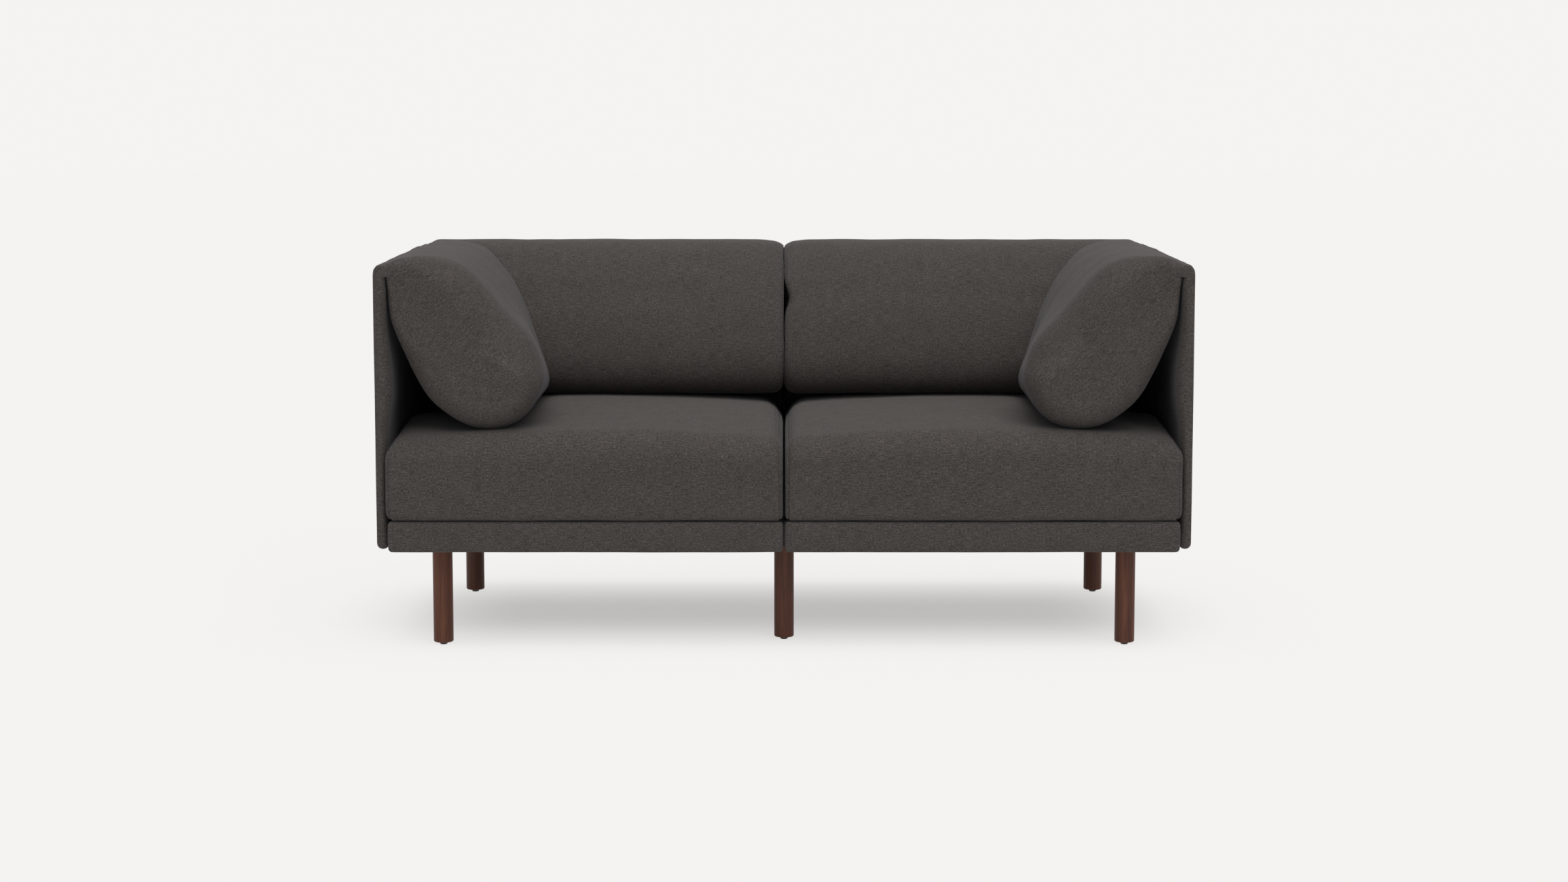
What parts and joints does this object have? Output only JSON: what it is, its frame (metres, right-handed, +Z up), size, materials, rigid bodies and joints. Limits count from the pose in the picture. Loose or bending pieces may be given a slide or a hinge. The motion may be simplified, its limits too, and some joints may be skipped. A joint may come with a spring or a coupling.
{
  "type": "two-seater sofa",
  "caption": "Low upholstered sofa on slim round wooden legs, with boxed seat cushions, thin panel sides and back, and rounded arm and back cushions hung from the panels' tops.",
  "frame": {"origin": "on the floor, under the middle of the sofa's bounding box", "axes": "+X to the right as seen from the front, +Y to the back, +Z up; the front faces -Y"},
  "size_m": [1.625, 0.84, 0.7876],
  "materials": {
    "upholstery": "heathered charcoal weave",
    "leg_wood": "walnut stain, satin",
    "frame_wood": "planed hardwood",
    "plywood": "raw plywood",
    "foam": "open-cell foam",
    "fibre_filling": "white fibre",
    "lining_cloth": "black non-woven cloth",
    "steel": "zinc-plated",
    "glide_plastic": "matte black"
  },
  "bodies": {
    "frame": {"arm_board_left": "plywood", "arm_board_right": "plywood", "arm_hinge_strip_left": "upholstery", "arm_hinge_strip_right": "upholstery", "arm_panel_left": "upholstery", "arm_panel_right": "upholstery", "back_board_left": "plywood", "back_board_right": "plywood", "back_cushion_left": "upholstery", "back_cushion_right": "upholstery", "back_filling_left": "fibre_filling", "back_filling_right": "fibre_filling", "back_hinge_strip_left": "upholstery", "back_hinge_strip_right": "upholstery", "back_panel_left": "upholstery", "back_panel_right": "upholstery", "base_cover_left": "upholstery", "base_cover_right": "upholstery", "corner_blocks": "frame_wood", "deck_cloth_left": "lining_cloth", "deck_cloth_right": "lining_cloth", "dust_cover_left": "lining_cloth", "dust_cover_right": "lining_cloth", "frame_bolts": "steel", "front_rail_left": "frame_wood", "front_rail_right": "frame_wood", "hanger_bolts": "steel", "inner_rail_left": "frame_wood", "inner_rail_right": "frame_wood", "leg_front_centre": "leg_wood", "leg_front_left": "leg_wood", "leg_front_right": "leg_wood", "leg_plates": "steel", "leg_rear_centre": "leg_wood", "leg_rear_left": "leg_wood", "leg_rear_right": "leg_wood", "outer_rail_left": "frame_wood", "outer_rail_right": "frame_wood", "rear_rail_left": "frame_wood", "rear_rail_right": "frame_wood", "seat_cushion_left": "upholstery", "seat_cushion_right": "upholstery", "seat_foam_left": "foam", "seat_foam_right": "foam", "seat_springs_left": "steel", "seat_springs_right": "steel", "spring_clips": "steel", "stretcher_left": "frame_wood", "stretcher_right": "frame_wood"},
    "glide_front_left": {"glide_front_left": "glide_plastic"},
    "glide_front_centre": {"glide_front_centre": "glide_plastic"},
    "glide_front_right": {"glide_front_right": "glide_plastic"},
    "glide_rear_left": {"glide_rear_left": "glide_plastic"},
    "glide_rear_centre": {"glide_rear_centre": "glide_plastic"},
    "glide_rear_right": {"glide_rear_right": "glide_plastic"},
    "arm_cushion_left": {"arm_cushion_left": "upholstery", "arm_filling_left": "fibre_filling"},
    "arm_cushion_right": {"arm_cushion_right": "upholstery", "arm_filling_right": "fibre_filling"}
  },
  "joints": [
    {"name": "glide_front_left_turn", "type": "hinge", "parent": "frame", "child": "glide_front_left", "pos_m": [-0.69, -0.337, 0], "axis": [0, 0, 1], "continuous": true},
    {"name": "glide_front_centre_turn", "type": "hinge", "parent": "frame", "child": "glide_front_centre", "pos_m": [0, -0.28, 0], "axis": [0, 0, 1], "continuous": true},
    {"name": "glide_front_right_turn", "type": "hinge", "parent": "frame", "child": "glide_front_right", "pos_m": [0.69, -0.337, 0], "axis": [0, 0, 1], "continuous": true},
    {"name": "glide_rear_left_turn", "type": "hinge", "parent": "frame", "child": "glide_rear_left", "pos_m": [-0.69, 0.2885, 0], "axis": [0, 0, 1], "continuous": true},
    {"name": "glide_rear_centre_turn", "type": "hinge", "parent": "frame", "child": "glide_rear_centre", "pos_m": [0, 0.2315, 0], "axis": [0, 0, 1], "continuous": true},
    {"name": "glide_rear_right_turn", "type": "hinge", "parent": "frame", "child": "glide_rear_right", "pos_m": [0.69, 0.2885, 0], "axis": [0, 0, 1], "continuous": true},
    {"name": "arm_cushion_left_lift", "type": "hinge", "parent": "frame", "child": "arm_cushion_left", "pos_m": [-0.79, 0, 0.774], "axis": [0, -1, 0], "range_deg": [0, 75]},
    {"name": "arm_cushion_right_lift", "type": "hinge", "parent": "frame", "child": "arm_cushion_right", "pos_m": [0.79, 0, 0.774], "axis": [0, 1, 0], "range_deg": [0, 75]}
  ]
}
